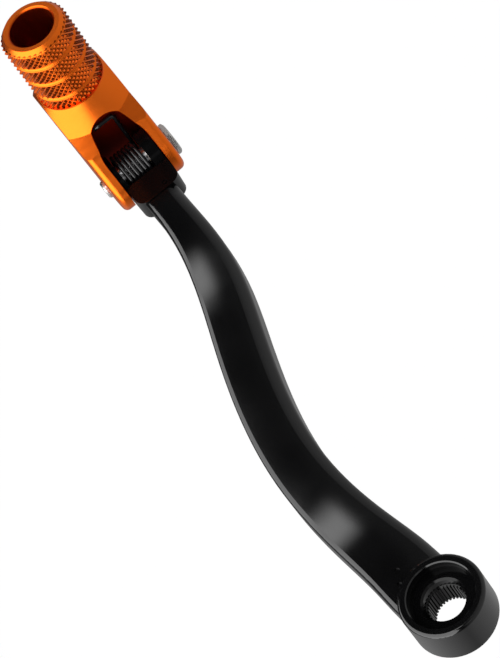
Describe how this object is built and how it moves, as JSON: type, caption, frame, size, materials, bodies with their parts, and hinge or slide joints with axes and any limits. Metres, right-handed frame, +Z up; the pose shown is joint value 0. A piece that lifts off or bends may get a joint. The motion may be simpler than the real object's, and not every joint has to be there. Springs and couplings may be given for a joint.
{
  "type": "gear shift lever",
  "caption": "Motorcycle gear shift lever: a splined boss on a curved forged arm, with a sprung folding tip that carries a hollow knurled toe peg.",
  "frame": {"origin": "on the spline's axis, in the plane of the boss's inner face, which faces the engine", "axes": "+X forward along the lever towards the toe peg, +Y outboard along the spline's axis and the peg's axis, +Z up"},
  "size_m": [0.2066, 0.1156, 0.0368],
  "materials": {
    "black_anodised": "satin black anodised forging",
    "orange_anodised": "machined, bright orange anodised",
    "stainless": "plain stainless",
    "steel": "ground",
    "bronze": "plain bearing bronze",
    "seal_rubber": "smooth black rubber",
    "spring_steel": "glossy black coated spring wire"
  },
  "bodies": {
    "arm": {"lever_arm": "black_anodised", "upper_bush": "bronze", "lower_bush": "bronze", "upper_seal": "seal_rubber", "lower_seal": "seal_rubber", "return_spring": "spring_steel"},
    "tip": {"folding_tip": "orange_anodised", "pivot_bolt": "stainless", "pivot_sleeve": "steel"}
  },
  "joints": [
    {"name": "tip_fold", "type": "hinge", "parent": "arm", "child": "tip", "pos_m": [0.158, 0.065, 0.00285], "axis": [0.0576, 0, 0.9983], "range_deg": [0, 70], "stiffness_Nm_per_rad": 0.11, "springref_deg": -45.84, "deforming": ["return_spring"]}
  ]
}
